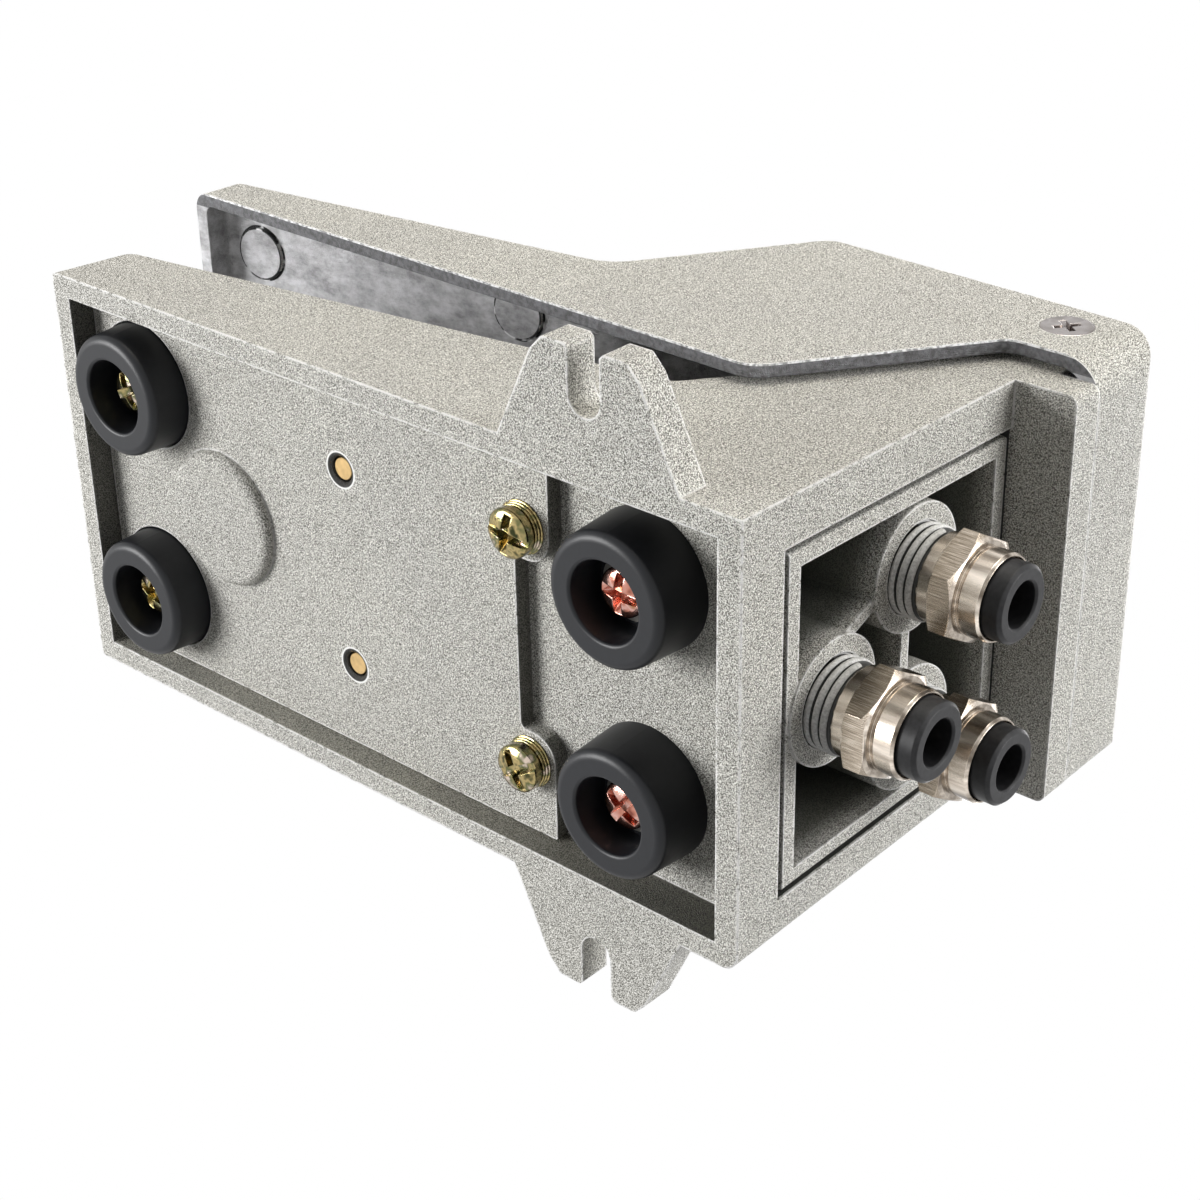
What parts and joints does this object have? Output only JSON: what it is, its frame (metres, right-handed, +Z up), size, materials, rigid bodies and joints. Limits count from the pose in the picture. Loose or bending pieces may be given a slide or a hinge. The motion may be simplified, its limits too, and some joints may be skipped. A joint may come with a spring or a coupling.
{
  "type": "foot pedal air valve",
  "caption": "Foot pedal air valve: cast wedge base on rubber feet with slotted lugs, hinged hooded treadle with a spring return, upright spool valve and push-in tube fittings.",
  "frame": {"origin": "middle of the overall length and width, on the floor plane under the feet", "axes": "+Z up, +Y towards the tube fittings and the hinge, -Y towards the free end of the treadle, +X to the operator's right"},
  "size_m": [0.0966, 0.157, 0.0844],
  "materials": {
    "base_paint": "speckled textured paint, warm silver grey",
    "pedal_paint": "speckled textured paint outside, bare casting inside",
    "plate_paint": "speckled textured paint",
    "valve_casting": "speckled textured paint on a casting",
    "foot_rubber": "matt black moulded rubber",
    "yellow_zinc": "yellow zinc plate",
    "pink_zinc": "pinkish zinc plate",
    "bright_zinc": "bright zinc plate",
    "nickel_brass": "nickel plated brass",
    "collar_plastic": "satin black moulded plastic",
    "seal_rubber": "black nitrile rubber",
    "ring_steel": "bright spring steel",
    "spring_steel": "drawn spring wire",
    "turned_aluminium": "turned, fine lathe marks",
    "turned_brass": "turned brass",
    "bracket_steel": "pressed sheet"
  },
  "bodies": {
    "base": {"base_housing": "base_paint", "bottom_plate": "plate_paint", "plate_screws": "yellow_zinc", "plate_spring_washers": "yellow_zinc", "front_foot_left": "foot_rubber", "front_foot_right": "foot_rubber", "rear_foot_left": "foot_rubber", "rear_foot_right": "foot_rubber", "foot_washers": "bright_zinc", "front_foot_screws": "yellow_zinc", "rear_foot_screws": "pink_zinc", "valve_body": "valve_casting", "end_plug": "turned_aluminium", "end_plug_seal": "seal_rubber", "guide_cap": "turned_brass", "spool_spring": "spring_steel", "spring_bracket": "bracket_steel", "bracket_screws": "yellow_zinc", "pedal_spring": "spring_steel", "hinge_screws": "bright_zinc", "hinge_washers": "turned_brass", "supply_fitting": "nickel_brass", "supply_tube_seal": "seal_rubber", "supply_grip_ring": "ring_steel", "work_fitting": "nickel_brass", "work_tube_seal": "seal_rubber", "work_grip_ring": "ring_steel", "exhaust_fitting": "nickel_brass", "exhaust_tube_seal": "seal_rubber", "exhaust_grip_ring": "ring_steel"},
    "pedal": {"pedal": "pedal_paint", "adjuster_screw": "bright_zinc", "adjuster_nut": "bright_zinc"},
    "spool": {"spool": "turned_aluminium", "spool_seals": "seal_rubber"},
    "supply_collar": {"supply_release_collar": "collar_plastic"},
    "work_collar": {"work_release_collar": "collar_plastic"},
    "exhaust_collar": {"exhaust_release_collar": "collar_plastic"}
  },
  "joints": [
    {"name": "pedal_hinge", "type": "hinge", "parent": "base", "child": "pedal", "pos_m": [0, 0.06005, 0.0762], "axis": [1, 0, 0], "range_deg": [0, 8], "stiffness_Nm_per_rad": 10, "springref_deg": -8.59, "deforming": ["pedal_spring"]},
    {"name": "spool_slide", "type": "slide", "parent": "base", "child": "spool", "axis": [0, 0, 1], "range_m": [-0.0036, 0], "stiffness_N_per_m": 600, "springref_m": 0.003, "deforming": ["spool_spring"]},
    {"name": "supply_collar_slide", "type": "slide", "parent": "base", "child": "supply_collar", "axis": [0, -1, 0], "range_m": [0, 0.0015], "stiffness_N_per_m": 400, "springref_m": -0.0005},
    {"name": "work_collar_slide", "type": "slide", "parent": "base", "child": "work_collar", "axis": [0, -1, 0], "range_m": [0, 0.0015], "stiffness_N_per_m": 400, "springref_m": -0.0005},
    {"name": "exhaust_collar_slide", "type": "slide", "parent": "base", "child": "exhaust_collar", "axis": [0, -1, 0], "range_m": [0, 0.0015], "stiffness_N_per_m": 400, "springref_m": -0.0005}
  ],
  "couplings": [
    {"joint": "spool_slide", "follows": "pedal_hinge", "m_per_rad": -0.0248}
  ]
}
